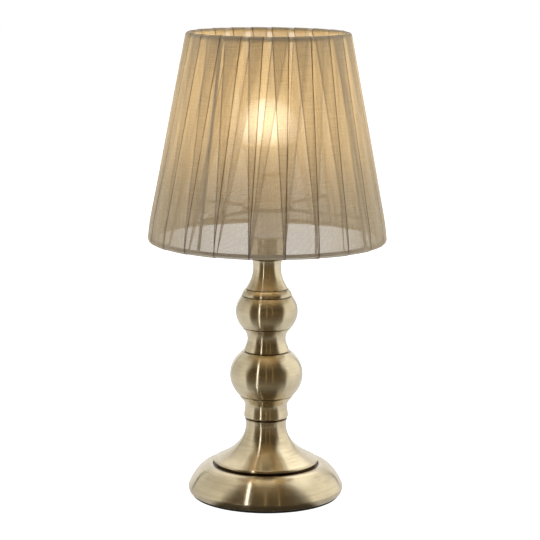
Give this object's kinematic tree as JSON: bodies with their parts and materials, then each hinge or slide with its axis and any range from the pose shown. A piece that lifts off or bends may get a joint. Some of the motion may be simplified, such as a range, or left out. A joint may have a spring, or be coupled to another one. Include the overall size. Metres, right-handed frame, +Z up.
{
  "type": "table lamp",
  "caption": "Table lamp with a turned brass column on a domed round foot and a tapered shade wound with sheer ribbon over a wire frame, lit by a screw-in bulb.",
  "frame": {"origin": "on the table, at the bottom centre of the foot, under the column's axis", "axes": "+Z up along the column, -Y towards the front, +X to the viewer's right"},
  "size_m": [0.1792, 0.1782, 0.3506],
  "materials": {
    "pad_foam": "matt black foam pad",
    "cast_weight": "rough casting",
    "foot_brass": "antique brass, brushed round its axis under clear lacquer",
    "column_brass": "antique brass, brushed round its axis under clear lacquer",
    "bush_plastic": "fine grain",
    "plated_steel": "zinc plated",
    "holder_plastic": "moulded, satin",
    "contact_metal": "pressed strip, bare",
    "cap_metal": "rolled, bright",
    "cap_glass": "smooth black insulator",
    "bulb_body": "satin white body",
    "led_plate": "white coated plate",
    "bulb_diffuser": "frosted, lit warm white",
    "frame_wire": "pale powder coat",
    "ribbon_organza": "sheer woven ribbon, taupe with a soft sheen"
  },
  "bodies": {
    "lamp": {"base_pad": "pad_foam", "base_weight": "cast_weight", "base_shell": "foot_brass", "cord_inlet_bush": "bush_plastic", "rod_nut": "plated_steel", "rod_washer": "plated_steel", "threaded_rod": "plated_steel", "foot_collar": "column_brass", "lower_ball": "column_brass", "waist_spool": "column_brass", "upper_ball": "column_brass", "bead_ring": "column_brass", "neck_vase": "column_brass", "holder_cup": "column_brass", "column_nut": "plated_steel", "holder_base": "holder_plastic", "holder_skirt": "holder_plastic", "holder_insert": "holder_plastic", "screw_shell": "contact_metal", "centre_contact": "contact_metal"},
    "shade": {"fitter_ring": "frame_wire", "spider_arm_1": "frame_wire", "spider_arm_2": "frame_wire", "spider_arm_3": "frame_wire", "spider_arm_4": "frame_wire", "shade_strut_1": "frame_wire", "shade_strut_2": "frame_wire", "shade_strut_3": "frame_wire", "shade_strut_4": "frame_wire", "shade_bottom_ring": "frame_wire", "shade_top_ring": "frame_wire", "shade_ribbon": "ribbon_organza"},
    "ring_nut": {"shade_nut": "holder_plastic"},
    "bulb_tip": {"bulb_contact": "cap_metal"},
    "bulb": {"bulb_insulator": "cap_glass", "bulb_cap": "cap_metal", "bulb_collar": "bulb_body", "bulb_led_plate": "led_plate", "bulb_dome": "bulb_diffuser"}
  },
  "joints": [
    {"name": "shade_turn", "type": "hinge", "parent": "lamp", "child": "shade", "pos_m": [0, 0, 0.2197], "axis": [0, 0, 1], "continuous": true},
    {"name": "shade_nut_rise", "type": "slide", "parent": "lamp", "child": "ring_nut", "axis": [0, 0, 1], "range_m": [0, 0.0185]},
    {"name": "bulb_rise", "type": "slide", "parent": "lamp", "child": "bulb_tip", "axis": [0, 0, 1], "range_m": [0, 0.0115]},
    {"name": "bulb_turn", "type": "hinge", "parent": "bulb_tip", "child": "bulb", "pos_m": [0, 0, 0.2373], "axis": [0, 0, 1], "range_deg": [0, 1440]}
  ],
  "couplings": [
    {"joint": "bulb_rise", "follows": "bulb_turn", "m_per_rad": 0.000449}
  ]
}
